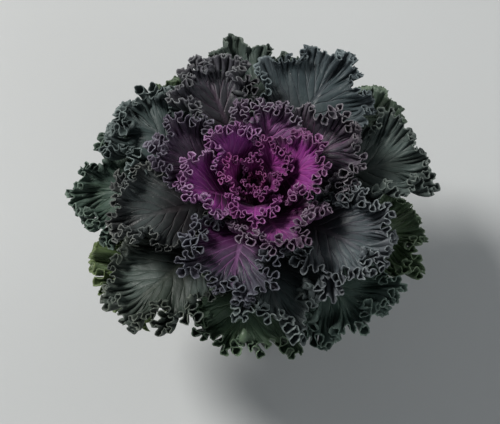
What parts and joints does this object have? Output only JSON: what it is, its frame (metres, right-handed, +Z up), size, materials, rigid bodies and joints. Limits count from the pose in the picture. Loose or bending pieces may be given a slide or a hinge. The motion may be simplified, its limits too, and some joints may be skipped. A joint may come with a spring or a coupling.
{
  "type": "potted ornamental kale",
  "caption": "Ornamental kale in a pot: a flat leafy rosette with a coloured heart and tightly curled leaf margins, on a short stem in potting soil, in a round tapered nursery pot.",
  "frame": {"origin": "centre of the pot's flat underside, on the surface it stands on", "axes": "+Z up the stem; -Y faces the viewer of the reference view, +X to the right"},
  "size_m": [0.2102, 0.1954, 0.1824],
  "materials": {
    "heart_leaf": "satin",
    "rose_leaf": "satin",
    "middle_leaf": "satin",
    "outer_leaf": "satin",
    "stem": "matte",
    "soil": "matte",
    "pot": "satin"
  },
  "bodies": {
    "root": {"pot": "pot", "potting_soil": "soil", "stem": "stem", "heart_leaf_1": "heart_leaf", "heart_leaf_2": "heart_leaf", "heart_leaf_3": "heart_leaf", "heart_leaf_4": "heart_leaf", "heart_leaf_5": "heart_leaf", "heart_leaf_6": "heart_leaf", "heart_leaf_7": "heart_leaf", "rose_leaf_1": "rose_leaf", "rose_leaf_2": "rose_leaf", "rose_leaf_3": "rose_leaf", "rose_leaf_4": "rose_leaf", "rose_leaf_5": "rose_leaf", "rose_leaf_6": "rose_leaf", "middle_leaf_1": "middle_leaf", "middle_leaf_2": "middle_leaf", "middle_leaf_3": "middle_leaf", "middle_leaf_4": "middle_leaf", "middle_leaf_5": "middle_leaf", "middle_leaf_6": "middle_leaf", "middle_leaf_7": "middle_leaf", "outer_leaf_1": "outer_leaf", "outer_leaf_2": "outer_leaf", "outer_leaf_3": "outer_leaf", "outer_leaf_4": "outer_leaf", "outer_leaf_5": "outer_leaf", "outer_leaf_6": "outer_leaf", "outer_leaf_7": "outer_leaf", "outer_leaf_8": "outer_leaf", "outer_leaf_9": "outer_leaf", "outer_leaf_10": "outer_leaf", "outer_leaf_11": "outer_leaf", "outer_leaf_12": "outer_leaf"}
  },
  "joints": []
}
